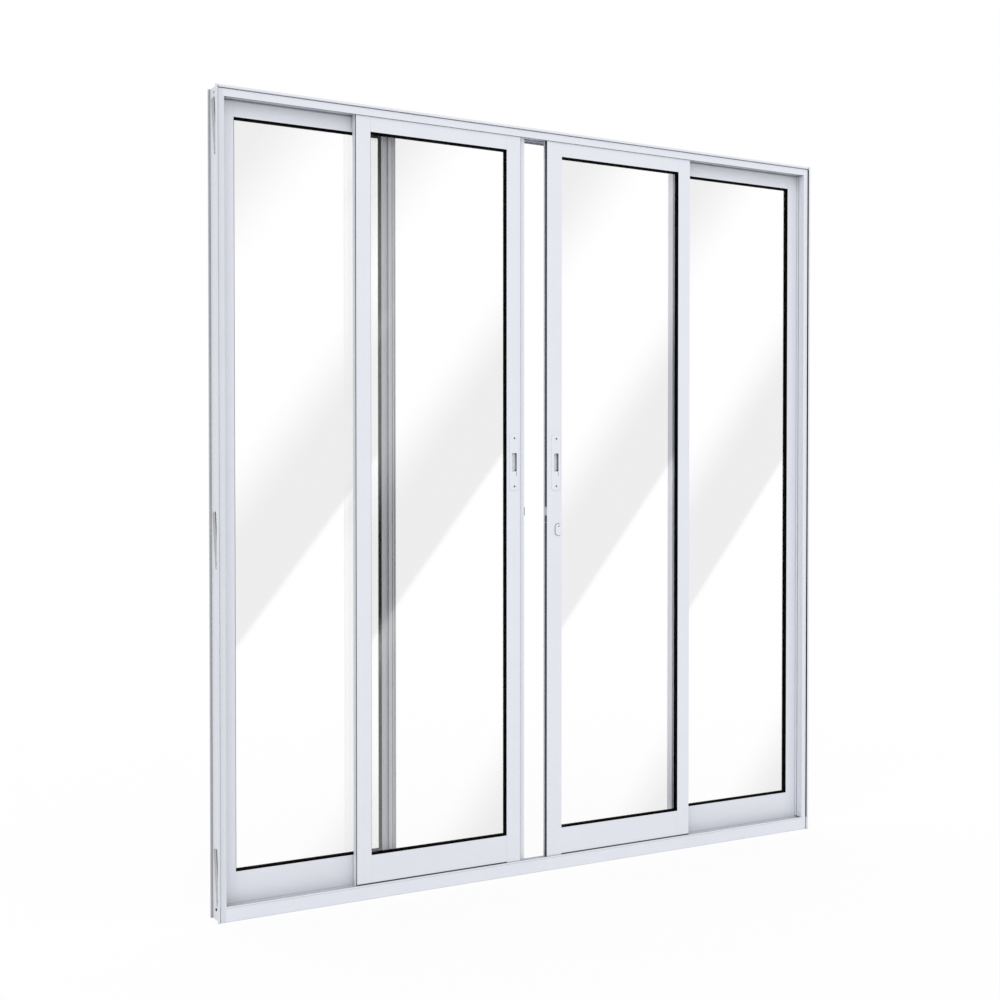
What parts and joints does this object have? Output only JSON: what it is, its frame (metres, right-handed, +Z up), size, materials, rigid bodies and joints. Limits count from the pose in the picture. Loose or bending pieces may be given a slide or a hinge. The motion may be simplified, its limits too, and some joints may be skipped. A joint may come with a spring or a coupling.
{
  "type": "glass sliding patio door",
  "caption": "White aluminium patio door with clear glass leaves: the outer leaves are fixed and the middle leaves slide in front of them on rollers.",
  "frame": {"origin": "middle of the underside of the sill, at half the depth of the frame", "axes": "+X to the right as seen from inside the room, +Y from the room side to the outside, +Z up"},
  "size_m": [2, 0.066, 2.15],
  "materials": {
    "frame_white": "satin powder coat",
    "leaf_white": "satin powder coat",
    "clear_glass": "clear float glass",
    "black_rubber": "matte",
    "grey_pile": "dark grey pile",
    "roller_nylon": "moulded",
    "pull_white": "semi gloss",
    "latch_steel": "satin zinc",
    "screw_steel": "zinc plated",
    "anchor_steel": "galvanised"
  },
  "bodies": {
    "frame": {"sill_track": "frame_white", "head_track": "frame_white", "left_jamb": "frame_white", "right_jamb": "frame_white", "jamb_strips": "black_rubber", "track_piles": "grey_pile", "corner_screws": "screw_steel", "left_wall_anchors": "anchor_steel", "right_wall_anchors": "anchor_steel", "fixed_left_jamb_stile": "leaf_white", "fixed_left_interlock_stile": "leaf_white", "fixed_left_top_rail": "leaf_white", "fixed_left_bottom_rail": "leaf_white", "fixed_left_glass": "clear_glass", "fixed_left_gasket": "black_rubber", "fixed_right_jamb_stile": "leaf_white", "fixed_right_interlock_stile": "leaf_white", "fixed_right_top_rail": "leaf_white", "fixed_right_bottom_rail": "leaf_white", "fixed_right_glass": "clear_glass", "fixed_right_gasket": "black_rubber"},
    "left_leaf": {"sliding_left_interlock_stile": "leaf_white", "sliding_left_meeting_stile": "leaf_white", "sliding_left_top_rail": "leaf_white", "sliding_left_bottom_rail": "leaf_white", "sliding_left_glass": "clear_glass", "sliding_left_gasket": "black_rubber", "sliding_left_rollers": "roller_nylon", "sliding_left_front_pull": "pull_white", "sliding_left_rear_pull": "pull_white", "sliding_left_pull_screws": "screw_steel", "sliding_left_edge_pile": "grey_pile", "sliding_left_latch_keeper": "latch_steel"},
    "right_leaf": {"sliding_right_interlock_stile": "leaf_white", "sliding_right_meeting_stile": "leaf_white", "sliding_right_top_rail": "leaf_white", "sliding_right_bottom_rail": "leaf_white", "sliding_right_glass": "clear_glass", "sliding_right_gasket": "black_rubber", "sliding_right_rollers": "roller_nylon", "sliding_right_front_pull": "pull_white", "sliding_right_rear_pull": "pull_white", "sliding_right_pull_screws": "screw_steel", "sliding_right_edge_pile": "grey_pile", "sliding_right_lock": "pull_white", "sliding_right_latch": "latch_steel", "sliding_right_groove_pile": "grey_pile"}
  },
  "joints": [
    {"name": "left_leaf_slide", "type": "slide", "parent": "frame", "child": "left_leaf", "axis": [1, 0, 0], "range_m": [-0.348, 0.086]},
    {"name": "right_leaf_slide", "type": "slide", "parent": "frame", "child": "right_leaf", "axis": [1, 0, 0], "range_m": [0, 0.436]}
  ]
}
